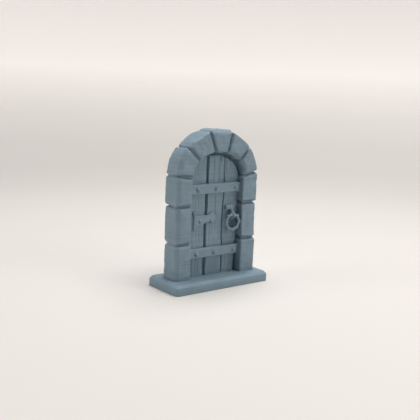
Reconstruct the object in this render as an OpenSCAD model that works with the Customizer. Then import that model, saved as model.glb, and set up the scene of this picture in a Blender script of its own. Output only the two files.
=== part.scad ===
// Miniature dungeon door for table-top games, printed in one piece.
// A door of three planks stands in a rough stone arch on a bevelled base.
// The origin is the middle of the base's underside, and the front faces -Y.

/* [Base] */
// Width of the base
base_w = 40; // [36:0.5:60]
// Depth of the base, front to back
base_d = 17.6; // [12:0.2:30]
// Height of the base
base_h = 3.5; // [2.4:0.1:6]
// Width of the slope along the top edge of the base
base_bevel = 0.9; // [0.4:0.1:2]
// Radius of the corners of the base, seen from above
base_corner_r = 1.3; // [0.5:0.1:3]

/* [Stones] */
// Width of the stone arch over both jambs
arch_w = 34.2; // [31:0.2:36]
// Depth of the stones, front to back
arch_d = 8.4; // [7:0.2:12]
// Height of the arch's centre above the base
spring_h = 33.5; // [30:0.2:50]
// Rise of the stones above the arch's centre
arch_rise = 17.3; // [15:0.1:22]
// Width of the doorway between the jambs
opening_w = 21.6; // [19:0.1:24]
// Rise of the doorway above the arch's centre
opening_rise = 9.6; // [7:0.1:11]
// Squareness of the doorway's curve; 2 makes an ellipse
doorway_power = 2.4; // [2:0.1:3]
// Number of wedge stones over the doorway
wedge_count = 5; // [3:2:7]
// Slope of the two joints that the arch springs from
spring_angle = 7.5; // [0:0.5:14]
// Width of the joints between the stones
joint_w = 0.4; // [0.3:0.05:0.7]
// Depth of the joints below the faces of the stones
joint_depth = 1.1; // [0.7:0.1:1.6]
// Radius of the worn edges of the stones
stone_round = 0.8; // [0.5:0.1:1.2]
// How far the corners of the stones stray from true
stone_stray = 0.15; // [0:0.05:0.3]

/* [Planks] */
// Thickness of the door, front to back
door_t = 2.8; // [2:0.1:4]
// Depth of the gaps between the planks, on each face
gap_depth = 1; // [0.3:0.1:1.2]
// Width of the left gap at the foot of the door
left_gap_w = 0.8; // [0.3:0.1:1.6]
// Width of the right gap at the foot of the door
right_gap_w = 0.5; // [0.3:0.1:1.6]
// Width of the slope along the edges of the planks
plank_bevel = 0.2; // [0.05:0.05:0.3]

/* [Straps] */
// Height of an iron strap
strap_h = 3.5; // [2:0.1:5]
// Thickness of a strap in front of the planks
strap_t = 1.1; // [0.5:0.1:1.5]
// Width of the slope along the edges of a strap
strap_bevel = 0.3; // [0.1:0.05:0.4]
// Middle of the lower strap above the base
lower_strap_h = 8.3; // [5:0.1:11]
// Middle of the upper strap above the base
upper_strap_h = 30.6; // [28:0.1:34]
// Diameter of the rivet heads on the straps
rivet_d = 1.7; // [0.8:0.1:2.4]
// Height of the rivet heads
rivet_h = 0.7; // [0.2:0.05:0.75]

/* [Hinge] */
// Middle of the hinge above the base
hinge_h = 19.6; // [17:0.1:23]
// Length of the hinge leaf, from the barrel to its point
hinge_leaf_l = 9; // [6:0.1:11]
// Height of the hinge leaf at the barrel
hinge_leaf_h = 4.2; // [2.5:0.1:5]
// Thickness of the hinge leaf in front of the planks
hinge_t = 0.7; // [0.4:0.1:1.2]
// Slope of the hinge leaf
hinge_tilt = 6; // [0:1:8]
// Diameter of the hinge barrel
barrel_d = 1.1; // [0.8:0.1:2]
// Length of the hinge barrel
barrel_l = 6.6; // [5:0.1:8]
// Distance of the barrel from the left jamb
barrel_inset = 2.3; // [1.5:0.1:4]

/* [Ring pull] */
// Middle of the ring above the base
ring_h = 18.6; // [16:0.1:20]
// Outer diameter of the ring, over its corners
ring_d = 6.8; // [5:0.1:8]
// Thickness of the ring's bar
ring_bar_d = 1.1; // [0.8:0.1:1.8]
// Space between the planks and the ring
ring_gap = 1.3; // [0.4:0.1:1.5]
// Thickness of the staple that holds the ring
staple_d = 1.1; // [0.6:0.1:1.4]
// How far the middle of the staple's nose stands out of the planks
staple_reach = 2.7; // [2.4:0.1:4]
// Middle of the plate above the middle of the ring
plate_rise = 5; // [4.6:0.1:6]
// Width of the plate
plate_w = 3.5; // [2.5:0.1:5]
// Height of the plate
plate_h = 1.8; // [1.2:0.1:2.5]
// Thickness of the plate
plate_t = 0.6; // [0.3:0.1:1]

/* [Hidden] */
door_color = "#7f95a2";

// Facets of a full turn on worn stone edges, on rivets and on small round bars
edge_facets = 12;
rivet_facets = 16;
bar_facets = 10;
curve_facets = 48;
ring_corners = 8;

// Depth that the planks and straps run into the stones
seat = joint_depth + joint_w;

// Heights and planes that the pieces share
spring_z = base_h + spring_h;
foot_z = base_h - 2 * stone_round;
door_front = -door_t / 2;
half_opening = opening_w / 2;

// Joints of the jambs as shares of the arch's centre height, at the outer and at the inner edge
left_joint_shares = [[0.365, 0.379], [0.754, 0.767]];
right_joint_shares = [[0.363, 0.369], [0.748, 0.751]];
// How far the outer face of each jamb stone stands out, as a share of half the arch's width
left_reach_shares = [0.985, 0.98, 0.988];
right_reach_shares = [1, 0.977, 1.008];
// How far each wedge stone stands out of the arch's outer curve, from right to left
wedge_reach_shares = [1.02, 0.995, 1.008, 0.975, 1.01];
// How far each wedge stone hangs into the doorway's curve, from right to left
wedge_hang_shares = [1.03, 0.98, 0.985, 0.965, 0.985];
// Turn of the outer and the inner end of each joint of the arch, in degrees, from right to left
joint_turns = [[0, 0], [-1, -4], [-1.7, -3.5], [-2.5, -8], [-1.7, 0.5], [0, 0]];
// Points along the edges of a wedge stone, as shares of its angle; the keystone's edges are straight
wedge_shares = [0, 0.33, 0.67, 1];
keystone_shares = [0, 1];

// Seeds for the strays of the stones
right_seed = 11;
left_seed = 21;
wedge_seed = 31;

// Gaps between the planks at the foot and at the arch's centre, as shares of the doorway's width
gap_shares = [[-0.165, -0.141], [0.18, 0.194]];
// Width of each gap at the arch's centre, as a share of its width at the foot
gap_head_shares = [1.4, 1];
// Thickness of each plank as a share of the door's
plank_shares = [1.08, 1.04, 0.8];

// Rivets along a strap, as shares of the doorway's width
strap_rivet_shares = [-0.36, 0, 0.4];
// Drop of the rivets below the middle of a strap, as a share of its height
rivet_drop_share = 0.03;
// Rivets along the hinge as shares of its length, the drop of each as a share of its height,
// and their size as a share of a strap's rivet
hinge_rivet_shares = [[0.26, 0.12], [0.79, 0.26]];
small_rivet_share = 0.75;
// Upper outline of the hinge leaf, as shares of its length and of half its height
hinge_outline_shares = [
    [0, 0.93], [0.4, 0.78], [0.62, 0.55], [0.69, 0.62], [0.76, 0.87], [0.83, 0.93], [0.92, 0.72], [1, 0.4]
];
// Cap of the hinge barrel: its height as a share of the barrel's diameter, and its overhang
cap_height_share = 0.6;
cap_width_share = 1.45;

// Middle of the ring as a share of the doorway's width, and the plate's offset as a share of its width
ring_share = 0.33;
plate_offset_share = 0.17;
// Rivets of the plate as shares of its width, and their size as a share of a strap's rivet
plate_rivet_shares = [-0.3, 0.12];
plate_rivet_share = 0.55;
// Knobs at the ring's corners as a share of its bar
knob_share = 1.25;
// Drop of the staple's head below the middle of the plate, as a share of the plate's height
staple_head_share = 0.35;
// Drop of the staple's nose below its head and of its tail below its nose, as shares of its reach
staple_drop_shares = [0.74, 0.75];

ring_x = opening_w * ring_share;
ring_z = base_h + ring_h;
ring_y = door_front - ring_gap - ring_bar_d / 2;
ring_mid_r = (ring_d - ring_bar_d) / 2;

// Point of a curve about the arch's centre, in the direction of an angle; a power of 2 makes an ellipse
function arch_point(half_w, rise, angle, power) =
    let (
        across = pow(abs(cos(angle)) / half_w, power),
        up = pow(abs(sin(angle)) / rise, power),
        r = pow(across + up, -1 / power)
    )
    [r * cos(angle), spring_z + r * sin(angle)];

// Angle of a joint of the arch, counted from the right springing, at its outer (0) or inner (1) end
function joint_angle(i, end) =
    spring_angle + i * (180 - 2 * spring_angle) / wedge_count + joint_turns[i % len(joint_turns)][end];

// Corners of an outline moved inward by one distance for each edge
function inset(points, distances) =
    let (n = len(points))
    [for (i = [0 : n - 1])
        let (
            before = (i + n - 1) % n,
            u = points[i] - points[before],
            v = points[(i + 1) % n] - points[i],
            along_u = u / norm(u),
            along_v = v / norm(v)
        )
        points[i] + (distances[before] * along_v - distances[i] * along_u) / cross(along_u, along_v)];

// Outline of the arch or of the doorway, from the foot to the crown
module arch_outline(half_w, rise, power) {
    arc = [for (i = [0 : curve_facets / 2]) arch_point(half_w, rise, i * 360 / curve_facets, power)];
    polygon(concat([[-half_w, foot_z], [half_w, foot_z]], arc));
}

// Lays a flat outline upright, as wide and high as it is drawn, with its thickness along Y
module upright(thickness, middle = 0) {
    translate([0, middle + thickness / 2, 0])
        rotate([90, 0, 0])
            linear_extrude(thickness)
                children();
}

module base_slab(inset_by, height) {
    linear_extrude(height)
        offset(r = base_corner_r, $fn = curve_facets)
            square([base_w, base_d] - 2 * (base_corner_r + inset_by) * [1, 1], center = true);
}

module base() {
    hull() {
        base_slab(0, base_h - base_bevel);
        base_slab(base_bevel, base_h);
    }
}

// One worn stone: balls along its outer and its inner edge, on the front and on the back,
// drawn in from the edges and hulled from one pair of points to the next
module stone(outer, inner, seed) {
    n = len(outer);
    joint_inset = stone_round + joint_w / 2;
    side_insets = [for (i = [1 : n - 1]) stone_round];
    outline = concat(outer, [for (i = [n - 1 : -1 : 0]) inner[i]]);
    points = inset(outline, concat(side_insets, [joint_inset], side_insets, [joint_inset]));
    planes = [stone_round - arch_d / 2, arch_d / 2 - stone_round];
    strays = rands(-stone_stray, stone_stray, 12 * n, seed);
    for (i = [1 : n - 1])
        hull()
            for (j = [i - 1, i, 2 * n - 1 - i, 2 * n - i], side = [0, 1]) {
                k = 6 * j + 3 * side;
                stray = [strays[k], strays[k + 1], strays[k + 2]];
                translate([points[j].x, planes[side], points[j].y] + stray)
                    sphere(stone_round, $fn = edge_facets);
            }
}

// Stones of the right-hand jamb; the left-hand one is its mirror image with its own joints
module jamb(joint_shares, reach_shares, seed) {
    n = len(reach_shares);
    for (i = [0 : n - 1]) {
        outer_x = arch_w / 2 * reach_shares[i];
        bottom = i == 0 ? foot_z * [1, 1] : base_h * [1, 1] + spring_h * joint_shares[i - 1];
        top = i == n - 1
            ? spring_z * [1, 1] + tan(spring_angle) * [outer_x, half_opening]
            : base_h * [1, 1] + spring_h * joint_shares[i];
        stone(
            [[outer_x, bottom[0]], [outer_x, top[0]]],
            [[half_opening, bottom[1]], [half_opening, top[1]]],
            seed + i
        );
    }
}

// Stones of the arch, from the right springing to the left one
module wedges() {
    for (i = [0 : wedge_count - 1]) {
        reach = wedge_reach_shares[i % len(wedge_reach_shares)];
        hang = wedge_hang_shares[i % len(wedge_hang_shares)];
        is_key = 2 * i + 1 == wedge_count;
        outer_ends = [joint_angle(i, 0), joint_angle(i + 1, 0)];
        inner_ends = [joint_angle(i, 1), joint_angle(i + 1, 1)];
        out = is_key ? reach / cos((outer_ends[1] - outer_ends[0]) / 2) : reach;
        shares = is_key ? keystone_shares : wedge_shares;
        outer = [for (s = shares)
            arch_point(arch_w / 2 * out, arch_rise * out, outer_ends * [1 - s, s], 2)];
        inner = [for (s = shares)
            arch_point(half_opening * hang, opening_rise * hang, inner_ends * [1 - s, s], doorway_power)];
        stone(outer, inner, wedge_seed + i);
    }
}

// Mortar that fills the joints up to their depth
module mortar() {
    upright(arch_d - 2 * joint_depth)
        difference() {
            arch_outline(arch_w / 2 - joint_depth, arch_rise - joint_depth, 2);
            arch_outline(half_opening + joint_depth, opening_rise + joint_depth, doorway_power);
        }
}

module stonework() {
    mortar();
    jamb(right_joint_shares, right_reach_shares, right_seed);
    mirror([1, 0, 0])
        jamb(left_joint_shares, left_reach_shares, left_seed);
    wedges();
}

// Outline of one plank: its left and right edges at the foot and at the arch's centre
module plank_outline(foot, head, shrink) {
    lean = (head - foot) / spring_h;
    top_z = spring_z + arch_rise;
    tall = top_z - foot_z;
    offset(delta = -shrink)
        intersection() {
            arch_outline(half_opening + seat, opening_rise + seat, doorway_power);
            polygon([
                [foot[0], foot_z],
                [foot[1], foot_z],
                [foot[1] + lean[1] * tall, top_z],
                [foot[0] + lean[0] * tall, top_z]
            ]);
        }
}

module planks() {
    gap_ws = [left_gap_w, right_gap_w];
    half_gaps = [for (i = [0 : len(gap_ws) - 1]) gap_ws[i] / 2 * [1, gap_head_shares[i]]];
    wall = half_opening + seat;
    for (i = [0 : len(plank_shares) - 1]) {
        left = i == 0 ? [-wall, -wall] : opening_w * gap_shares[i - 1] + half_gaps[i - 1];
        right = i == len(gap_ws) ? [wall, wall] : opening_w * gap_shares[i] - half_gaps[i];
        t = door_t * plank_shares[i];
        hull() {
            upright(t - 2 * plank_bevel)
                plank_outline([left[0], right[0]], [left[1], right[1]], 0);
            upright(t)
                plank_outline([left[0], right[0]], [left[1], right[1]], plank_bevel);
        }
    }
    upright(door_t - 2 * gap_depth)
        arch_outline(half_opening + seat, opening_rise + seat, doorway_power);
}

// Domed rivet head that stands out of a face towards the front
module rivet(size_share = 1) {
    r = rivet_d / 2 * size_share;
    h = rivet_h * size_share;
    ball_r = (r * r + h * h) / (2 * h);
    translate([0, ball_r - h, 0])
        difference() {
            sphere(ball_r, $fn = rivet_facets);
            translate([0, ball_r + h, 0])
                cube(2 * ball_r, center = true);
        }
}

module strap(middle_h) {
    l = opening_w + 2 * seat;
    half_h = strap_h / 2;
    face = door_front - strap_t;
    profile = [
        [0, -half_h],
        [0, half_h],
        [face + strap_bevel, half_h],
        [face, half_h - strap_bevel],
        [face, strap_bevel - half_h],
        [face + strap_bevel, -half_h]
    ];
    translate([-l / 2, 0, base_h + middle_h]) {
        rotate([90, 0, 90])
            linear_extrude(l)
                polygon(profile);
        for (s = strap_rivet_shares)
            translate([l / 2 + s * opening_w, face, -rivet_drop_share * strap_h])
                rivet();
    }
}

// Hinge: a barrel with a cap, and a tapered leaf that ends in a spade
module hinge() {
    barrel_x = barrel_inset - half_opening;
    upper = [for (s = hinge_outline_shares) [s.x * hinge_leaf_l, s.y * hinge_leaf_h / 2]];
    lower = [for (i = [len(upper) - 1 : -1 : 0]) [upper[i].x, -upper[i].y]];
    leaf_t = hinge_t - door_front;
    cap_h = barrel_d * cap_height_share;
    translate([barrel_x, 0, base_h + hinge_h]) {
        rotate([0, -hinge_tilt, 0]) {
            upright(leaf_t, -leaf_t / 2)
                polygon(concat(upper, lower));
            for (s = hinge_rivet_shares)
                translate([s[0] * hinge_leaf_l, door_front - hinge_t, -s[1] * hinge_leaf_h])
                    rivet(small_rivet_share);
        }
        translate([0, door_front - hinge_t / 2, -barrel_l / 2]) {
            cylinder(h = barrel_l, d = barrel_d, $fn = bar_facets);
            translate([0, 0, barrel_l - cap_h])
                cylinder(h = cap_h, d = barrel_d * cap_width_share, $fn = bar_facets);
        }
    }
}

// Round bar along a row of points
module bar(points, d) {
    for (i = [1 : len(points) - 1])
        hull()
            for (p = [points[i - 1], points[i]])
                translate(p)
                    sphere(d = d, $fn = bar_facets);
}

// Ring with a knob at each corner, hung in a staple below a riveted plate
module ring_pull() {
    corner_turn = 360 / ring_corners;
    room = door_front - ring_y;
    head = [0, room, plate_rise - staple_head_share * plate_h];
    nose = head - staple_reach * [0, 1, staple_drop_shares[0]];
    tail = nose + (staple_reach + gap_depth) * [0, 1, -staple_drop_shares[1]];
    translate([ring_x, ring_y, ring_z]) {
        rotate([90, 0, 0])
            rotate_extrude($fn = ring_corners)
                translate([ring_mid_r, 0])
                    circle(d = ring_bar_d, $fn = bar_facets);
        for (i = [0 : ring_corners - 1])
            rotate([0, i * corner_turn, 0])
                translate([ring_mid_r, 0, 0])
                    sphere(d = ring_bar_d * knob_share, $fn = bar_facets);
        bar([head, nose, tail], staple_d);
        bar([[0, 0, -ring_mid_r], [0, room + gap_depth, -ring_mid_r]], staple_d);
        translate([-plate_offset_share * plate_w, room - plate_t, plate_rise]) {
            translate([-plate_w / 2, 0, -plate_h / 2])
                cube([plate_w, plate_t + gap_depth, plate_h]);
            for (s = plate_rivet_shares)
                translate([s * plate_w, 0, 0])
                    rivet(plate_rivet_share);
        }
    }
}

module dungeon_door() {
    color(door_color) {
        base();
        stonework();
        planks();
        strap(lower_strap_h);
        strap(upper_strap_h);
        hinge();
        ring_pull();
    }
}

dungeon_door();
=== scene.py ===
import math
import random

import bmesh
import bpy
from mathutils import Euler, Matrix, Vector


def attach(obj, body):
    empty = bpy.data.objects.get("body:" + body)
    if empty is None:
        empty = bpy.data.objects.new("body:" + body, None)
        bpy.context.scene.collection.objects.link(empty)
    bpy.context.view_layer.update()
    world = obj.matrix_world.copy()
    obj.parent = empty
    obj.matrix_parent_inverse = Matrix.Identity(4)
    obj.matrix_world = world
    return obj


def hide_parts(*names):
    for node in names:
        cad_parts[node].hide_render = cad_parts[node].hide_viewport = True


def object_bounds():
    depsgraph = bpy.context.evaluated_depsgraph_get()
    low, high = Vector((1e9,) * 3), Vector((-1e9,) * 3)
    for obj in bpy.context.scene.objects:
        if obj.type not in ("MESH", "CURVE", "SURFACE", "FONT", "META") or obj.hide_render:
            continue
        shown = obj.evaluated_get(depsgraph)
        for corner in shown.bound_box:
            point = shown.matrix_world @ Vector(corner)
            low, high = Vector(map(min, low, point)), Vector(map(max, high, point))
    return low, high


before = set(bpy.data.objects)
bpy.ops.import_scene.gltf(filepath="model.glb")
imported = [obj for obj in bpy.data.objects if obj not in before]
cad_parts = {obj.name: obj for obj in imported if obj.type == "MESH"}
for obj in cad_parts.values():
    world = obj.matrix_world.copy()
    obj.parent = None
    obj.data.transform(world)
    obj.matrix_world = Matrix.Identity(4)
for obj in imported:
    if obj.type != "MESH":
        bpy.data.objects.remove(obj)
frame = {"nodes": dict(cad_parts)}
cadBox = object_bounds()
scene = bpy.context.scene
mm = 0.001
print("frame loaded:", ", ".join(frame["nodes"]))


def linear(hexText):
    shares = [int(hexText[i:i + 2], 16) / 255 for i in (1, 3, 5)]
    return [s / 12.92 if s <= 0.04045 else ((s + 0.055) / 1.055) ** 2.4 for s in shares] + [1]


def addNode(tree, kind, inputs=None, **settings):
    node = tree.nodes.new(kind)
    for name, value in settings.items():
        setattr(node, name, value)
    for key, value in (inputs or {}).items():
        if isinstance(value, bpy.types.NodeSocket):
            tree.links.new(value, node.inputs[key])
        else:
            node.inputs[key].default_value = value
    return node


# a geometry tree with one named input for each size, and its input node's sockets
def newTree(name, sizes):
    tree = bpy.data.node_groups.new(name, "GeometryNodeTree")
    tree.interface.new_socket("Geometry", in_out="OUTPUT", socket_type="NodeSocketGeometry")
    tree.interface.new_socket("Geometry", in_out="INPUT", socket_type="NodeSocketGeometry")
    for label, value in sizes.items():
        kind = {int: "NodeSocketInt", float: "NodeSocketFloat", tuple: "NodeSocketVector"}[type(value)]
        tree.interface.new_socket(label, in_out="INPUT", socket_type=kind)
    return tree, addNode(tree, "NodeGroupInput").outputs


# realizes what the tree made and gives it its material
def endTree(tree, made, material):
    real = addNode(tree, "GeometryNodeRealizeInstances", {"Geometry": made})
    dressed = addNode(tree, "GeometryNodeSetMaterial", {"Geometry": real.outputs[0], "Material": material})
    addNode(tree, "NodeGroupOutput", {0: dressed.outputs[0]})


def useTree(piece, tree, sizes):
    modifier = piece.modifiers.new(tree.name, "NODES")
    modifier.node_group = tree
    for socket in tree.interface.items_tree:
        if socket.in_out == "INPUT" and socket.name in sizes:
            modifier[socket.identifier] = sizes[socket.name]


# an object from points in millimetres
def addPiece(name, points, faces):
    mesh = bpy.data.meshes.new(name)
    mesh.from_pydata([Vector(p) * mm for p in points], [], faces)
    piece = bpy.data.objects.new(name, mesh)
    scene.collection.objects.link(piece)
    return piece


# adds a closed body drawn through rows of points, one loop to a row
def addLoft(points, faces, rows):
    start, n = len(points), len(rows[0])
    for row in rows:
        points += row
    for k in range(len(rows) - 1):
        a, b = start + k * n, start + (k + 1) * n
        faces += [(a + i, a + (i + 1) % n, b + (i + 1) % n, b + i) for i in range(n)]
    faces += [tuple(reversed(range(start, start + n))), tuple(range(len(points) - n, len(points)))]


# adds the closed skin round a cloud of points
def addHull(points, faces, cloud):
    bm = bmesh.new()
    for point in cloud:
        bm.verts.new(point)
    made = bmesh.ops.convex_hull(bm, input=bm.verts)
    spare = made["geom_interior"] + made["geom_unused"]
    loose = {v for v in spare if isinstance(v, bmesh.types.BMVert)}
    bmesh.ops.delete(bm, geom=list(loose), context="VERTS")
    bmesh.ops.recalc_face_normals(bm, faces=bm.faces)
    bm.verts.index_update()
    start = len(points)
    points += [v.co.copy() for v in bm.verts]
    faces += [[start + v.index for v in f.verts] for f in bm.faces]
    bm.free()


# joins the bodies of a piece under one skin and softens it
def addSkin(piece, look):
    remesh = piece.modifiers.new("oneSkin", "REMESH")
    remesh.mode, remesh.voxel_size = "VOXEL", look["voxel"] * mm
    soften = piece.modifiers.new("soften", "SMOOTH")
    soften.factor, soften.iterations = look["softening"], look["smoothing"]


# turns what the modifiers give into the piece's own mesh
def settle(piece):
    seen = piece.evaluated_get(bpy.context.evaluated_depsgraph_get())
    made = bpy.data.meshes.new_from_object(seen)
    piece.modifiers.clear()
    piece.data = made


def finishPiece(piece, material, sharpAngle=None):
    mesh = piece.data
    mesh.materials.clear()
    mesh.materials.append(material)
    mesh.shade_smooth()
    if sharpAngle:
        mesh.set_sharp_from_angle(angle=math.radians(sharpAngle))
    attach(piece, "root")
    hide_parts("dungeon_door")
    mesh.calc_loop_triangles()
    print(piece.name, len(mesh.loop_triangles), "triangles")


# camera where the photograph was taken: degrees round and above, then its lens and a small roll
photoView = {"turn": -37.62, "rise": 9.86, "roll": 1.89, "distance": 242.4, "aimHeight": 27.0,
             "sensor": 36.0, "lens": 59.51, "shift": (-0.0033, -0.0057), "nearest": 10.0}


def addCamera(view):
    turn, rise = math.radians(view["turn"]), math.radians(view["rise"])
    back = Vector((math.sin(turn) * math.cos(rise), -math.cos(turn) * math.cos(rise), math.sin(rise)))
    camera = bpy.data.objects.new("camera", bpy.data.cameras.new("camera"))
    camera.data.sensor_width = view["sensor"]
    camera.data.lens = view["lens"]
    camera.data.shift_x, camera.data.shift_y = view["shift"]
    camera.data.clip_start = view["nearest"] * mm
    camera.location = (back * view["distance"] + Vector((0, 0, view["aimHeight"]))) * mm
    roll = Matrix.Rotation(math.radians(view["roll"]), 4, "Z")
    camera.rotation_euler = (back.to_track_quat("Z", "Y").to_matrix().to_4x4() @ roll).to_euler()
    scene.collection.objects.link(camera)
    scene.camera = camera


# white card floor that curves up all round, in millimetres and degrees; light comes through its
# walls, as in a photo tent, but not on the open side behind the camera
cardFloor = {
    "middle": 60.0, "flat": 250.0, "curve": 600.0, "curveSteps": 12, "stepAngle": 7, "segments": 72,
    "colour": "#d4d2d0", "roughness": 0.9, "specular": 0.1,
    "openSide": (-0.61, -0.79, 0), "openFrom": 107.0, "openTo": 170.0,
    "glow": 0.46, "glowColour": "#fdf8f4", "glowFrom": -10.0, "glowTo": 85.0,
}


def addFloor(card):
    rings = [(card["middle"], 0), (card["flat"], 0)]
    for i in range(1, card["curveSteps"] + 1):
        lift = math.radians(card["stepAngle"] * i)
        out, up = card["curve"] * math.sin(lift), card["curve"] * (1 - math.cos(lift))
        rings.append((card["flat"] + out, up))
    n = card["segments"]
    turns = [math.tau * i / n for i in range(n)]
    points, faces = [Vector((0, 0, 0))], [(0, 1 + i, 1 + (i + 1) % n) for i in range(n)]
    for radius, z in rings:
        points += [Vector((radius * math.cos(turn), radius * math.sin(turn), z)) for turn in turns]
    for row in range(len(rings) - 1):
        a, b = 1 + row * n, 1 + (row + 1) * n
        faces += [(a + i, b + i, b + (i + 1) % n, a + (i + 1) % n) for i in range(n)]
    floor = addPiece("cardFloor", points, faces)
    paper = bpy.data.materials.new("mattWhiteCard")
    paper.use_nodes = True
    tree = paper.node_tree
    shader = tree.nodes["Principled BSDF"]
    place = addNode(tree, "ShaderNodeTexCoord").outputs["Object"]
    behind = addNode(tree, "ShaderNodeVectorMath", {0: place, 1: card["openSide"]},
                     operation="DOT_PRODUCT")
    closed = addNode(tree, "ShaderNodeMapRange",
                     {"Value": behind.outputs["Value"], "From Min": card["openFrom"] * mm,
                      "From Max": card["openTo"] * mm, "To Min": 1.0, "To Max": 0.0},
                     interpolation_type="SMOOTHSTEP")
    height = addNode(tree, "ShaderNodeSeparateXYZ", {0: place}).outputs["Z"]
    lit = addNode(tree, "ShaderNodeMapRange", {"Value": height, "From Min": card["glowFrom"] * mm,
                  "From Max": card["glowTo"] * mm, "To Max": card["glow"]})
    glow = addNode(tree, "ShaderNodeMath", {0: lit.outputs[0], 1: closed.outputs[0]}, operation="MULTIPLY")
    tree.links.new(glow.outputs[0], shader.inputs["Emission Strength"])
    shader.inputs["Base Color"].default_value = linear(card["colour"])
    shader.inputs["Emission Color"].default_value = linear(card["glowColour"])
    shader.inputs["Roughness"].default_value = card["roughness"]
    shader.inputs["Specular IOR Level"].default_value = card["specular"]
    floor.data.materials.append(paper)
    floor.data.shade_smooth()


# soft boxes: place in millimetres, width and height of the box, and watts
studioLight = {
    "boxes": {
        "key": {"place": (170, -360, 190), "box": (220, 220), "watts": 0.35},
        "top": {"place": (92, -14, 520), "box": (500, 420), "watts": 3.45},
        "leftBack": {"place": (-420, 120, 190), "box": (260, 260), "watts": 0.54},
    },
    "lampColour": (1.0, 0.985, 0.965), "aimHeight": 27,
    "world": 0.05, "worldColour": "#fdfaf6",
    "contrast": 0.75,  # below 1, deepens the shadows as the photograph does
}


def addLights(studio):
    for name, box in studio["boxes"].items():
        lamp = bpy.data.lights.new(name, "AREA")
        lamp.shape = "RECTANGLE"
        lamp.size, lamp.size_y = box["box"][0] * mm, box["box"][1] * mm
        lamp.energy = box["watts"]
        lamp.color = studio["lampColour"]
        softBox = bpy.data.objects.new(name, lamp)
        softBox.location = Vector(box["place"]) * mm
        away = softBox.location - Vector((0, 0, studio["aimHeight"])) * mm
        softBox.rotation_euler = away.to_track_quat("Z", "Y").to_euler()
        scene.collection.objects.link(softBox)
    world = bpy.data.worlds.new("studio")
    world.use_nodes = True
    sky = world.node_tree.nodes["Background"]
    sky.inputs["Color"].default_value = linear(studio["worldColour"])
    sky.inputs["Strength"].default_value = studio["world"]
    scene.world = world
    scene.view_settings.view_transform = "Standard"
    scene.view_settings.gamma = studio["contrast"]


addCamera(photoView)
addFloor(cardFloor)
addLights(studioLight)
print("camera, floor and lights set")

# printed PLA, blue-grey filament laid down in layers: a dull satin face with fine level ridges on
# every upright side, and slanting rows of filament on the faces that look up; sizes in millimetres
printedPla = {
    "colour": "#8fa1ad", "darkBand": "#8899a5", "paleBand": "#95a7b3", "toneEnds": (0.3, 0.7),
    "roughness": (0.46, 0.6), "ior": 1.46,
    "layerPitch": 0.65,  # real layers are 0.2 high, too fine to show, so they are drawn coarser
    "layerBump": 0.032,
    "bandPitch": 1.1, "bandRoughness": 0.65, "mottle": 5.0, "detail": 3.0,
    "rowPitch": 1.0,  # real rows are 0.45 wide, drawn coarser for the same reason
    "rowBump": 0.03, "rowTurn": 45, "rowWaver": 0.4,
    "rowFacing": (0.8, 0.96),  # upward share of the normal where rows begin and where they are full
    "waveRepeat": 0.31416,  # a band wave repeats after this length of its scaled coordinate
}


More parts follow.
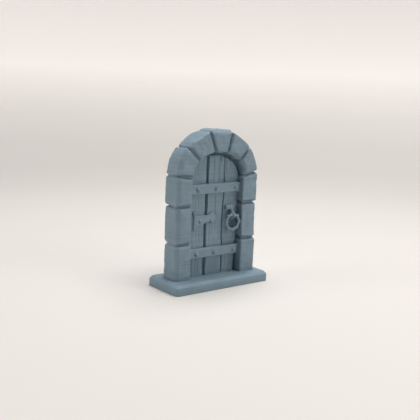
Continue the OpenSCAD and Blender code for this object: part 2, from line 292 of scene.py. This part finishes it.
def makePla(look):
    material = bpy.data.materials.new("printedPla")
    material.use_nodes = True
    tree = material.node_tree
    shader = tree.nodes["Principled BSDF"]
    place = addNode(tree, "ShaderNodeTexCoord").outputs
    split = addNode(tree, "ShaderNodeSeparateXYZ", {0: place["Object"]}).outputs
    facing = addNode(tree, "ShaderNodeSeparateXYZ", {0: place["Normal"]}).outputs
    upward = addNode(tree, "ShaderNodeMapRange", {"Value": facing["Z"], "From Min": look["rowFacing"][0],
                     "From Max": look["rowFacing"][1]})

    layers = addNode(tree, "ShaderNodeTexWave", {"Vector": place["Object"],
                     "Scale": look["waveRepeat"] / (look["layerPitch"] * mm)},
                     wave_type="BANDS", bands_direction="Z", wave_profile="SIN")
    bands = addNode(tree, "ShaderNodeTexNoise", {"W": split["Z"], "Scale": 1 / (look["bandPitch"] * mm),
                    "Detail": look["detail"], "Roughness": look["bandRoughness"]}, noise_dimensions="1D")
    mottle = addNode(tree, "ShaderNodeTexNoise", {"Vector": place["Object"],
                     "Scale": 1 / (look["mottle"] * mm), "Detail": look["detail"]}, noise_dimensions="3D")
    slanted = addNode(tree, "ShaderNodeMapping", {"Vector": place["Object"],
                      "Rotation": (0, 0, math.radians(look["rowTurn"]))})
    rows = addNode(tree, "ShaderNodeTexWave", {"Vector": slanted.outputs[0],
                   "Scale": look["waveRepeat"] / (look["rowPitch"] * mm), "Distortion": look["rowWaver"]},
                   wave_type="BANDS", bands_direction="X", wave_profile="SIN")

    # ridges are stronger on some layers than on others
    ridges = addNode(tree, "ShaderNodeMath", {0: layers.outputs["Fac"], 1: bands.outputs[0]},
                     operation="MULTIPLY")
    ridged = addNode(tree, "ShaderNodeBump", {"Height": ridges.outputs[0],
                     "Distance": look["layerBump"] * mm, "Strength": 1.0})
    rowHeight = addNode(tree, "ShaderNodeMath", {0: rows.outputs["Fac"], 1: upward.outputs[0]},
                        operation="MULTIPLY")
    rowed = addNode(tree, "ShaderNodeBump", {"Height": rowHeight.outputs[0],
                    "Distance": look["rowBump"] * mm, "Strength": 1.0, "Normal": ridged.outputs[0]})

    low, high = look["toneEnds"]
    both = addNode(tree, "ShaderNodeMath", {0: bands.outputs[0], 1: mottle.outputs[0]}, operation="ADD")
    tone = addNode(tree, "ShaderNodeMath", {0: both.outputs[0], 1: 0.5}, operation="MULTIPLY")
    ramp = addNode(tree, "ShaderNodeValToRGB", {"Fac": tone.outputs[0]})
    ends = ramp.color_ramp.elements
    ends[0].position, ends[1].position = low, high
    ends[0].color = linear(look["darkBand"])
    ends[1].color = linear(look["paleBand"])
    ends.new((low + high) / 2).color = linear(look["colour"])
    gloss = addNode(tree, "ShaderNodeMapRange", {"Value": mottle.outputs[0], "From Min": low, "From Max": high,
                    "To Min": look["roughness"][0], "To Max": look["roughness"][1]})
    tree.links.new(ramp.outputs[0], shader.inputs["Base Color"])
    tree.links.new(gloss.outputs[0], shader.inputs["Roughness"])
    tree.links.new(rowed.outputs[0], shader.inputs["Normal"])
    shader.inputs["IOR"].default_value = look["ior"]
    return material


pla = makePla(printedPla)
print("material made:", pla.name)

# slab that the arch stands on, in millimetres; the profile gives how far each edge loop is drawn in,
# and its height, and the corners grow tighter as they are drawn in
baseSlab = {
    "width": 40.0, "depth": 17.6, "corner": 1.3, "cornerShrink": 0.4, "leastCorner": 0.3,
    "cornerSteps": 10, "sharpAngle": 25,
    "profile": ((0.16, 0.0), (0.05, 0.04), (0.0, 0.16), (0.0, 1.3), (0.0, 2.5), (0.03, 2.6), (0.09, 2.69),
                (0.45, 3.05), (0.81, 3.41), (0.9, 3.47), (1.02, 3.5)),
}


def makeBase(slab):
    rows = []
    for drawnIn, z in slab["profile"]:
        radius = max(slab["corner"] - slab["cornerShrink"] * drawnIn, slab["leastCorner"])
        halfX, halfY = slab["width"] / 2 - drawnIn - radius, slab["depth"] / 2 - drawnIn - radius
        row = []
        for quarter, (sx, sy) in enumerate(((1, 1), (-1, 1), (-1, -1), (1, -1))):
            middle = Vector((sx * halfX, sy * halfY, z))
            for i in range(slab["cornerSteps"] + 1):
                turn = math.radians(90) * (quarter + i / slab["cornerSteps"])
                row.append(middle + radius * Vector((math.cos(turn), math.sin(turn), 0)))
        rows.append(row)
    points, faces = [], []
    addLoft(points, faces, rows)
    return addPiece("baseSlab", points, faces)


finishPiece(makeBase(baseSlab), pla, baseSlab["sharpAngle"])

# arch of worn stones, in millimetres and degrees; rows of numbers run from the foot up, and from
# right to left
stoneArch = {
    "halfWidth": 17.1, "rise": 17.3, "power": 2, "springHeight": 37.0, "foot": 1.3, "depth": 8.4,
    "halfDoorway": 10.8, "rightDoorway": 10.5, "doorwayRise": 9.6, "doorwayPower": 2.4,
    "leftJoints": ((15.72, 16.2), (28.75, 29.2)), "rightJoints": ((15.66, 15.86), (28.56, 28.66)),
    "leftReach": (0.995, 0.988, 0.999), "rightReach": (1.01, 0.98, 1.02),
    "wedgeReach": ((1.04, 1.04), (1.015, 1.01), (1.008, 1.008), (1.01, 0.985), (1.025, 1.025)),
    "wedgeHang": (1.03, 0.98, 0.985, 0.965, 0.985), "wedgeSteps": 4,
    "outerTurns": (7.5, 39.5, 71.8, 104.0, 137.8, 172.5),
    "innerTurns": (7.5, 36.5, 70.0, 98.5, 140.0, 172.5),
    "keystone": 2, "keystoneWorn": 0.8,
    "round": 0.6, "joint": 0.45, "jointDepth": 1.2, "revealDepth": 0.6, "mortarStep": 5,
    # how far the faces are cut back from the outer edge in front and behind, from the joints and
    # from the inner edge, and the inner edge's rounding
    "rightCuts": (0.2, 0.2, 0.25, 0.05, 0.3), "leftCuts": (0.6, 0.15, 0.25, 0.35, 0.6),
    "wedgeCuts": ((0.3, 0.3, 0.25, 0.8, 0.6), (0.15, 0.15, 0.15, 0.9, 0.6), (0.9, 0.9, 0.2, 0.4, 0.6),
                  (0.1, 0.1, 0.3, 0.4, 0.6), (1.2, 1.2, 0.3, 0.4, 0.6)),
    "cutDepth": 0.8, "stray": 0.12, "seed": 5,
    "voxel": 0.25, "softening": 0.5, "smoothing": 3,
}
stoneWear = {"Dent depth": 0.18 * mm, "Dent size": 4.2 * mm, "Chip depth": 0.09 * mm,
             "Chip size": 1.4 * mm, "Seed": 3.0}
ballRows, ballSides = 12, 20


# points of a ball of radius 1, one at each pole
def makeBall():
    spots = []
    for row in range(ballRows + 1):
        rise = math.radians(-90 + 180 / ballRows * row)
        for i in range(ballSides if 0 < row < ballRows else 1):
            turn = math.tau * i / ballSides
            spots.append(Vector((math.cos(turn) * math.cos(rise), math.sin(turn) * math.cos(rise),
                                 math.sin(rise))))
    return spots


ball = makeBall()


def archPoint(halfWidth, rise, angle, power):
    angle = math.radians(angle)
    across, up = abs(math.cos(angle)) / halfWidth, abs(math.sin(angle)) / rise
    reach = (across ** power + up ** power) ** (-1 / power)
    return Vector((reach * math.cos(angle), stoneArch["springHeight"] + reach * math.sin(angle)))


# an outline with each of its sides moved inward by its own distance
def drawIn(outline, distances):
    moved = []
    for i, point in enumerate(outline):
        u = (point - outline[i - 1]).normalized()
        v = (outline[(i + 1) % len(outline)] - point).normalized()
        moved.append(point + (distances[i - 1] * v - distances[i] * u) / (u.x * v.y - u.y * v.x))
    return moved


# a stone is the hull of balls at its corners, with its front and back faces drawn in further
def addStone(points, faces, arch, outer, inner, chance, cuts, side=1):
    n, r, half = len(outer), arch["round"], arch["depth"] / 2
    frontCut, backCut, jointCut, innerCut, innerRound = cuts
    joint = r + arch["joint"] / 2
    outlines = []
    for outerCut, beside, reveal in ((0, 0, 0), (frontCut, jointCut, innerCut), (backCut, jointCut, innerCut)):
        distances = [r + outerCut] * (n - 1) + [joint + beside]
        distances += [innerRound + reveal] * (n - 1) + [joint + beside]
        outlines.append(drawIn(outer + inner[::-1], distances))
    balls = []
    for body, *ends, rounding in zip(*outlines, [r] * n + [innerRound] * n):
        balls.append([])
        for way, end in zip((-1, 1), ends):
            stray = arch["stray"] * Vector([chance.uniform(-1, 1) for _ in range(3)])
            for p, depth in ((end, half - rounding), (body, half - rounding - arch["cutDepth"])):
                balls[-1].append((Vector((side * p.x, way * depth, p.y)) + stray, rounding))
    for i in range(1, n):
        corners = [m for j in (i - 1, i, 2 * n - 1 - i, 2 * n - i) for m in balls[j]]
        addHull(points, faces, [middle + rounding * spot for middle, rounding in corners for spot in ball])


# the body that shows between the stones, a little behind their faces
def addMortar(points, faces, arch):
    sunk, reveal = arch["jointDepth"], arch["revealDepth"]
    rings = []
    for halfWidth, rise, power in (
            (arch["halfWidth"] - sunk, arch["rise"] - sunk, arch["power"]),
            (arch["halfDoorway"] + reveal, arch["doorwayRise"] + reveal, arch["doorwayPower"])):
        curve = [archPoint(halfWidth, rise, turn, power) for turn in range(0, 181, arch["mortarStep"])]
        rings.append([Vector((halfWidth, arch["foot"]))] + curve + [Vector((-halfWidth, arch["foot"]))])
    half, start, n = arch["depth"] / 2 - sunk, len(points), len(rings[0])
    for y in (-half, half):
        for ring in rings:
            points += [Vector((p.x, y, p.y)) for p in ring]
    # outer front, inner front, inner back, outer back
    loops = [[start + k * n + i for i in range(n)] for k in (0, 1, 3, 2)]
    for a, b in zip(loops, loops[1:] + loops[:1]):
        faces += [(a[i], b[i], b[i + 1], a[i + 1]) for i in range(n - 1)]
    faces += [[loop[0] for loop in loops][::-1], [loop[-1] for loop in loops]]


def makeStones(arch):
    points, faces, chance = [], [], random.Random(arch["seed"])
    addMortar(points, faces, arch)
    slope = math.tan(math.radians(arch["outerTurns"][0]))  # of the top of each jamb
    for side, hand, doorway in ((1, "right", arch["rightDoorway"]), (-1, "left", arch["halfDoorway"])):
        joints = arch[hand + "Joints"]
        for i, reach in enumerate(arch[hand + "Reach"]):
            xs = (arch["halfWidth"] * reach, doorway)
            low = joints[i - 1] if i else (arch["foot"],) * 2
            high = joints[i] if i < len(joints) else [arch["springHeight"] + slope * x for x in xs]
            outer, inner = [[Vector((xs[k], low[k])), Vector((xs[k], high[k]))] for k in (0, 1)]
            addStone(points, faces, arch, outer, inner, chance, arch[hand + "Cuts"], side)
    for i, (reaches, hang) in enumerate(zip(arch["wedgeReach"], arch["wedgeHang"])):
        outs, ins = arch["outerTurns"][i:i + 2], arch["innerTurns"][i:i + 2]
        outer, inner = [], []
        for step in range(arch["wedgeSteps"] + 1):
            s = step / arch["wedgeSteps"]
            reach = reaches[0] + (reaches[1] - reaches[0]) * s
            turn, inTurn = outs[0] + (outs[1] - outs[0]) * s, ins[0] + (ins[1] - ins[0]) * s
            if i == arch["keystone"]:  # its top is flat, with a worn corner on the left
                reach *= 1 / math.cos(math.radians(turn - (outs[0] + outs[1]) / 2))
            outer.append(archPoint(arch["halfWidth"] * reach, arch["rise"] * reach, turn, arch["power"]))
            inner.append(archPoint(arch["halfDoorway"] * hang, arch["doorwayRise"] * hang, inTurn,
                                   arch["doorwayPower"]))
        if i == arch["keystone"]:
            outer[-1].y -= arch["keystoneWorn"]
        addStone(points, faces, arch, outer, inner, chance, arch["wedgeCuts"][i])
    return addPiece("stoneArch", points, faces)


# moves the skin in and out: broad dents, and smaller chips between them
def makeWear(sizes, material):
    tree, given = newTree("stoneWear", sizes)
    lift = None
    for kind in ("Dent", "Chip"):
        scale = addNode(tree, "ShaderNodeMath", {0: 1.0, 1: given[kind + " size"]}, operation="DIVIDE")
        cloud = addNode(tree, "ShaderNodeTexNoise", {"W": given["Seed"], "Scale": scale.outputs[0],
                        "Detail": 2.0}, noise_dimensions="4D")
        spread = addNode(tree, "ShaderNodeMapRange", {"Value": cloud.outputs[0], "From Min": 0.25,
                         "From Max": 0.75, "To Min": -1.0, "To Max": 1.0}, clamp=False)
        step = addNode(tree, "ShaderNodeMath", {0: spread.outputs[0], 1: given[kind + " depth"]},
                       operation="MULTIPLY")
        lift = step if lift is None else addNode(
            tree, "ShaderNodeMath", {0: lift.outputs[0], 1: step.outputs[0]}, operation="ADD")
    normal = addNode(tree, "GeometryNodeInputNormal")
    move = addNode(tree, "ShaderNodeVectorMath", {0: normal.outputs[0], "Scale": lift.outputs[0]},
                   operation="SCALE")
    worn = addNode(tree, "GeometryNodeSetPosition", {"Geometry": given["Geometry"], "Offset": move.outputs[0]})
    endTree(tree, worn.outputs[0], material)
    return tree


stones = makeStones(stoneArch)
addSkin(stones, stoneArch)
useTree(stones, makeWear(stoneWear, pla), stoneWear)
settle(stones)
for vertex in stones.data.vertices:  # the keystone's top stays within the solid's height
    vertex.co.z = min(vertex.co.z, cadBox[1].z)
finishPiece(stones, pla)

# three planks on one web, in millimetres; each gap is a line of heights and places, with its widths
# at heights; archGap and sideGap are how far the planks' faces end short of the arch and of the
# right jamb
plankDoor = {
    "foot": 1.3, "springHeight": 37.0, "halfWidth": 12.3, "rise": 11.1, "power": 2.4, "headHeight": 44,
    "halfThick": (1.4, 1.46, 1.28), "gapFloor": (0.2, 0.7),  # for each plank, and in front and behind
    "rows": 150, "columnPitch": 0.24, "plankWidths": (8.2, 6.4, 8.1),
    "doorway": (10.8, 9.45), "archGap": ((-3.0, 0.9), (7.0, 1.25)),
    "sideGap": ((3.5, 0.9), (12.0, 0.75), (17.0, 0.0)), "gapSlope": 0.35,
    "gaps": (
        {"line": ((1.3, -3.6), (19.5, -3.66), (28.5, -3.3), (37.0, -3.08), (48.0, -2.95)),
         "wide": ((3.5, 0.66), (37.0, 0.78))},
        {"line": ((1.3, 3.85), (9.5, 4.1), (14.5, 4.13), (17.4, 3.77), (22.0, 3.75), (28.4, 4.0),
                  (31.3, 4.24), (36.9, 4.36), (39.7, 4.24), (48.0, 4.3)),
         "wide": ((3.5, 0.34), (9.5, 0.38), (14.0, 0.32), (17.4, 0.26), (28.4, 0.42), (36.9, 0.37),
                  (39.7, 0.2))},
    ),
    # how far in from a plank's side, and its share of the rise from the gap's floor
    "edge": ((0.0, 0.0), (0.01, 0.55), (0.04, 0.86), (0.1, 0.96), (0.2, 1.0)),
    "cracks": (  # place, lower and upper end, width, depth
        (2.5, 42.6, 48.0, 0.8, 0.8), (6.8, 40.2, 47.0, 0.55, 0.45), (-6.6, 4.0, 9.0, 0.5, 0.25),
        (1.2, 4.0, 10.5, 0.45, 0.25), (7.9, 13.0, 19.0, 0.45, 0.2), (-0.7, 14.0, 27.0, 0.4, 0.16),
    ),
    "crackTaper": 1.5, "crackSlope": 2,
    "hollow": (7.9, 21.6), "hollowRadius": 2.1, "hollowDepth": 0.8, "hollowSlope": 0.5,  # behind the ring
}
woodGrain = {"Grain depth": 0.3 * mm, "Grain width": 1.1 * mm, "Grain length": 14.0 * mm,
             "Fibre depth": 0.13 * mm, "Fibre width": 0.6 * mm, "Groove from": 0.48, "Groove to": 0.72,
             "Waver": 0.3, "Plank shift": 7.3, "Seed": 2.0}


# a smooth value between the rows of a table
def along(table, z):
    for (z0, a), (z1, b) in zip(table, table[1:]):
        if z <= z1:
            share = min(max((z - z0) / (z1 - z0), 0), 1)
            return a + (b - a) * share * share * (3 - 2 * share)
    return table[-1][1]


# columns of the door at one height: place, half thickness, grain share and plank
def plankColumns(door, z, floor):
    bounds = [-door["halfWidth"]]
    for gap in door["gaps"]:
        middle, half = along(gap["line"], z), along(gap["wide"], z) / 2
        bounds += [middle - half, middle + half]
    bounds.append(door["halfWidth"])
    columns, inset = [], door["edge"][-1][0]
    for i, thick in enumerate(door["halfThick"]):
        low, high = bounds[2 * i], bounds[2 * i + 1]
        count = round(door["plankWidths"][i] / door["columnPitch"])
        side = [(drawnIn, floor + s * (thick - floor), s) for drawnIn, s in door["edge"][:-1]]
        if i > 0:
            columns += [(low + drawnIn, level, s, i) for drawnIn, level, s in side]
        columns += [(low + inset + (high - low - 2 * inset) * k / count, thick, 1.0, i)
                    for k in range(count + 1)]
        if i < len(door["gaps"]):
            columns += [(high - drawnIn, level, s, i) for drawnIn, level, s in side[::-1]]
    return columns


def archHeight(door, halfWidth, rise, x):
    power = door["power"]
    return door["springHeight"] + rise * (1 - min(abs(x) / halfWidth, 1) ** power) ** (1 / power)


# half thickness at one place, sunk beside the arch, and in front also at the cracks and the hollow
def plankThickness(door, x, z, thick, floor, inFront):
    room = min(archHeight(door, *door["doorway"], x) - along(door["archGap"], x) - z,
               door["doorway"][0] - along(door["sideGap"], z) - x)
    thick += (floor - thick) * min(max(-room / door["gapSlope"], 0), 1)
    if not inFront:
        return thick
    for place, low, high, width, depth in door["cracks"]:
        taper = min((z - low) / door["crackTaper"], (high - z) / door["crackTaper"], 1)
        groove = 1 - abs(x - place) / (width / 2)
        if taper > 0 and groove > 0:
            cut = depth * taper * min(door["crackSlope"] * groove, 1)
            thick = max(thick - cut, min(thick, floor))
    within = door["hollowRadius"] - math.dist((x, z), door["hollow"])
    return thick - door["hollowDepth"] * min(max(within / door["hollowSlope"], 0), 1)


def makePlanks(door):
    heads = [column[0] for column in plankColumns(door, door["headHeight"], 0)]
    tops = [archHeight(door, door["halfWidth"], door["rise"], x) for x in heads]
    wide, tall = len(heads), door["rows"] + 1
    points, faces, grain, plank = [], [], [], []
    for face, floor in zip((-1, 1), door["gapFloor"]):
        for row in range(tall):
            for c in range(wide):
                z = door["foot"] + (tops[c] - door["foot"]) * row / door["rows"]
                x, thick, share, i = plankColumns(door, z, floor)[c]
                thick = plankThickness(door, x, z, thick, floor, face < 0)
                points.append(Vector((x, face * thick, z)))
                grain.append(share)
                plank.append(i + (0.5 if face > 0 else 0))  # other grain behind than in front
    back = wide * tall
    for row in range(tall - 1):
        for c in range(wide - 1):
            a = row * wide + c
            faces.append((a, a + 1, a + 1 + wide, a + wide))
            faces.append((back + a, back + a + wide, back + a + 1 + wide, back + a + 1))
    rim = [(c, c + 1) for c in range(wide - 1)]
    rim += [(r * wide + wide - 1, (r + 1) * wide + wide - 1) for r in range(tall - 1)]
    rim += [((tall - 1) * wide + c + 1, (tall - 1) * wide + c) for c in range(wide - 1)]
    rim += [((r + 1) * wide, r * wide) for r in range(tall - 1)]
    faces += [(b, a, back + a, back + b) for a, b in rim]
    piece = addPiece("plankDoor", points, faces)
    for name, values in (("grain", grain), ("plank", plank)):
        piece.data.attributes.new(name, "FLOAT", "POINT").data.foreach_set("value", values)
    return piece


# sinks long upright streaks into the planks' faces, other ones on each plank
def makeGrain(sizes, material):
    tree, given = newTree("woodGrain", sizes)
    share = addNode(tree, "GeometryNodeInputNamedAttribute", {"Name": "grain"}, data_type="FLOAT")
    plank = addNode(tree, "GeometryNodeInputNamedAttribute", {"Name": "plank"}, data_type="FLOAT")
    spot = addNode(tree, "GeometryNodeInputPosition")
    place = addNode(tree, "ShaderNodeSeparateXYZ", {0: spot.outputs[0]}).outputs
    shelf = addNode(tree, "ShaderNodeMath", {0: plank.outputs[0], 1: given["Plank shift"], 2: given["Seed"]},
                    operation="MULTIPLY_ADD")
    rise = addNode(tree, "ShaderNodeMath", {0: place["Z"], 1: given["Grain length"]}, operation="DIVIDE")
    lift = None
    for kind in ("Grain", "Fibre"):
        across = addNode(tree, "ShaderNodeMath", {0: place["X"], 1: given[kind + " width"]},
                         operation="DIVIDE")
        drawn = addNode(tree, "ShaderNodeCombineXYZ",
                        {0: across.outputs[0], 1: shelf.outputs[0], 2: rise.outputs[0]})
        streak = addNode(tree, "ShaderNodeTexNoise", {"Vector": drawn.outputs[0], "Scale": 1.0,
                         "Detail": 2.0, "Distortion": given["Waver"]}, noise_dimensions="3D")
        groove = addNode(tree, "ShaderNodeMapRange", {"Value": streak.outputs[0],
                         "From Min": given["Groove from"], "From Max": given["Groove to"],
                         "To Min": 0.0, "To Max": -1.0}, interpolation_type="SMOOTHSTEP")
        step = addNode(tree, "ShaderNodeMath", {0: groove.outputs[0], 1: given[kind + " depth"]},
                       operation="MULTIPLY")
        lift = step if lift is None else addNode(
            tree, "ShaderNodeMath", {0: lift.outputs[0], 1: step.outputs[0]}, operation="ADD")
    shared = addNode(tree, "ShaderNodeMath", {0: lift.outputs[0], 1: share.outputs[0]}, operation="MULTIPLY")
    normal = addNode(tree, "GeometryNodeInputNormal")
    move = addNode(tree, "ShaderNodeVectorMath", {0: normal.outputs[0], "Scale": shared.outputs[0]},
                   operation="SCALE")
    grained = addNode(tree, "GeometryNodeSetPosition",
                      {"Geometry": given["Geometry"], "Offset": move.outputs[0]})
    endTree(tree, grained.outputs[0], material)
    return tree


planks = makePlanks(plankDoor)
useTree(planks, makeGrain(woodGrain, pla), woodGrain)
settle(planks)
finishPiece(planks, pla)

# straps, hinge, plate, staple, ring and rivets, in millimetres and degrees
ironwork = {
    "straps": ((11.8, 1.1), (34.1, 1.0)),  # height of the middle, and share of the rivets' size
    "strapHalf": (12.3, 1.75), "strapSteps": 25, "strapFace": -2.5, "strapEdge": 0.3,
    "wobble": 0.07, "faceWobble": 0.5,
    "rivet": (0.86, 0.72), "strapRivets": (-7.75, 0.05, 8.6), "rivetDrop": 0.1,
    "barrel": (-8.3, -1.5), "barrelDepth": 0.65, "barrelSides": 20, "leastRadius": 0.02,
    "barrelProfile": ((0.0, 19.8), (0.47, 19.8), (0.55, 19.95), (0.55, 25.5), (0.88, 25.56),
                      (0.88, 26.2), (0.7, 26.4), (0.0, 26.4)),
    "leaf": (8.8, 2.1), "leafPlace": (-8.3, 23.1), "leafFace": -1.95, "leafTilt": 6.2,
    "leafOutline": ((0.0, 0.93), (0.3, 0.84), (0.5, 0.68), (0.62, 0.55), (0.68, 0.6), (0.75, 0.85),
                    (0.83, 0.93), (0.9, 0.78), (0.96, 0.55), (1.0, 0.4)),
    "leafRivets": ((2.15, 0.5), (6.9, 1.1)), "leafRivetShare": 0.75,
    "plate": ((4.75, 8.3), (26.2, 27.95)), "plateFace": -2.3, "plateBack": -0.7,
    "plateRivets": (5.45, 6.95), "plateRivetHeight": 27.05, "plateRivetShare": 0.55,
    "staple": ((7.5, -0.8, 26.5), (7.5, -1.6, 26.4), (7.2, -4.1, 24.25), (7.0, -0.7, 21.6)),
    "stapleBar": 1.05, "ringPlace": (7.15, -3.2, 21.85), "stubDrop": 2.7, "stubEnd": -0.7,
    "seed": 9, "voxel": 0.12, "softening": 0.5, "smoothing": 2,
}
ringPull = {"Ring radius": 2.85 * mm, "Bar radius": 0.55 * mm, "Knob radius": 0.7 * mm, "Corners": 8,
            "Ring place": tuple(v * mm for v in ironwork["ringPlace"]), "Least rivet": 0.01 * mm}


def makeIron(iron):
    points, faces, rivets, chance = [], [], [], random.Random(iron["seed"])

    # a rivet is a point, with the radius of the ball that its head is cut from
    def addRivet(x, face, z, share, turn=None):
        r, h = iron["rivet"][0] * share, iron["rivet"][1] * share
        size = (r * r + h * h) / (2 * h)
        place = Vector((x, face + size - h, z))
        rivets.append((turn @ place if turn else place, size))

    halfLength, half = iron["strapHalf"]
    for middle, headShare in iron["straps"]:
        rows = []
        for k in range(iron["strapSteps"] + 1):
            up, down, out = [iron["wobble"] * chance.uniform(-1, 1) for _ in range(3)]
            face, edge = iron["strapFace"] + iron["faceWobble"] * out, iron["strapEdge"]
            section = ((0, -half + down), (face + edge, -half + down), (face, edge - half + down),
                       (face, half - edge + up), (face + edge, half + up), (0, half + up))
            x = -halfLength + 2 * halfLength * k / iron["strapSteps"]
            rows.append([Vector((x, y, middle + z)) for y, z in section])
        addLoft(points, faces, rows)
        for x in iron["strapRivets"]:
            addRivet(x, iron["strapFace"], middle - iron["rivetDrop"], headShare)

    x, z = iron["leafPlace"]
    turned = Matrix.Translation((x, 0, z)) @ Matrix.Rotation(math.radians(-iron["leafTilt"]), 4, "Y")
    length, leafHalf = iron["leaf"]
    upper = [Vector((s * length, 0, t * leafHalf)) for s, t in iron["leafOutline"]]
    outline = upper + [Vector((p.x, 0, -p.z)) for p in reversed(upper)]
    addLoft(points, faces, [[turned @ (p + Vector((0, depth, 0))) for p in outline]
                            for depth in (0, iron["leafFace"])])
    for s, drop in iron["leafRivets"]:
        addRivet(s, iron["leafFace"], -drop, iron["leafRivetShare"], turned)

    x, y = iron["barrel"]
    turns = [math.tau * i / iron["barrelSides"] for i in range(iron["barrelSides"])]
    rows = []
    for radius, z in iron["barrelProfile"]:
        r = max(radius, iron["leastRadius"])
        rows.append([Vector((x + r * math.cos(turn), y + iron["barrelDepth"] * r * math.sin(turn), z))
                     for turn in turns])
    addLoft(points, faces, rows)

    (x0, x1), (z0, z1) = iron["plate"]
    corners = ((x0, z0), (x1, z0), (x1, z1), (x0, z1))
    addLoft(points, faces, [[Vector((x, y, z)) for x, z in corners]
                            for y in (iron["plateFace"], iron["plateBack"])])
    for x in iron["plateRivets"]:
        addRivet(x, iron["plateFace"], iron["plateRivetHeight"], iron["plateRivetShare"])

    ring = Vector(iron["ringPlace"])
    path = [Vector(point) for point in iron["staple"]]
    stub = (ring - Vector((0, 0, iron["stubDrop"])),  # the ring rests on it
            Vector((ring.x, iron["stubEnd"], ring.z - iron["stubDrop"])))
    for ends in list(zip(path, path[1:])) + [stub]:
        addHull(points, faces, [end + iron["stapleBar"] / 2 * spot for end in ends for spot in ball])

    piece = addPiece("ironwork", points + [place for place, size in rivets], faces)
    sizes = [0.0] * len(points) + [size * mm for place, size in rivets]
    piece.data.attributes.new("rivet", "FLOAT", "POINT").data.foreach_set("value", sizes)
    return piece


# a domed head on every rivet point, and the ring with a knob on each corner
def makeRivetsAndRing(sizes, material):
    tree, given = newTree("rivetsAndRing", sizes)
    size = addNode(tree, "GeometryNodeInputNamedAttribute", {"Name": "rivet"}, data_type="FLOAT")
    isRivet = addNode(tree, "FunctionNodeCompare", {0: size.outputs[0], 1: given["Least rivet"]},
                      data_type="FLOAT", operation="GREATER_THAN")
    parted = addNode(tree, "GeometryNodeSeparateGeometry",
                     {"Geometry": given["Geometry"], "Selection": isRivet.outputs[0]}, domain="POINT")
    head = addNode(tree, "GeometryNodeMeshUVSphere", {"Segments": 20, "Rings": 12, "Radius": 1.0})
    heads = addNode(tree, "GeometryNodeInstanceOnPoints", {"Points": parted.outputs["Selection"],
                    "Instance": head.outputs[0], "Scale": size.outputs[0]})
    circle = addNode(tree, "GeometryNodeCurvePrimitiveCircle",
                     {"Resolution": given["Corners"], "Radius": given["Ring radius"]})
    upright = addNode(tree, "GeometryNodeTransform", {"Geometry": circle.outputs[0],
                      "Translation": given["Ring place"], "Rotation": Euler((math.radians(90), 0, 0))})
    bar = addNode(tree, "GeometryNodeCurvePrimitiveCircle", {"Resolution": 16, "Radius": given["Bar radius"]})
    ring = addNode(tree, "GeometryNodeCurveToMesh",
                   {"Curve": upright.outputs[0], "Profile Curve": bar.outputs[0]})
    knob = addNode(tree, "GeometryNodeMeshUVSphere",
                   {"Segments": 16, "Rings": 10, "Radius": given["Knob radius"]})
    knobs = addNode(tree, "GeometryNodeInstanceOnPoints",
                    {"Points": upright.outputs[0], "Instance": knob.outputs[0]})
    joined = addNode(tree, "GeometryNodeJoinGeometry")
    for made in (parted.outputs["Inverted"], heads.outputs[0], ring.outputs[0], knobs.outputs[0]):
        tree.links.new(made, joined.inputs[0])
    endTree(tree, joined.outputs[0], material)
    return tree


iron = makeIron(ironwork)
useTree(iron, makeRivetsAndRing(ringPull, pla), ringPull)
addSkin(iron, ironwork)
settle(iron)
finishPiece(iron, pla)

print("all pieces ride the frame")
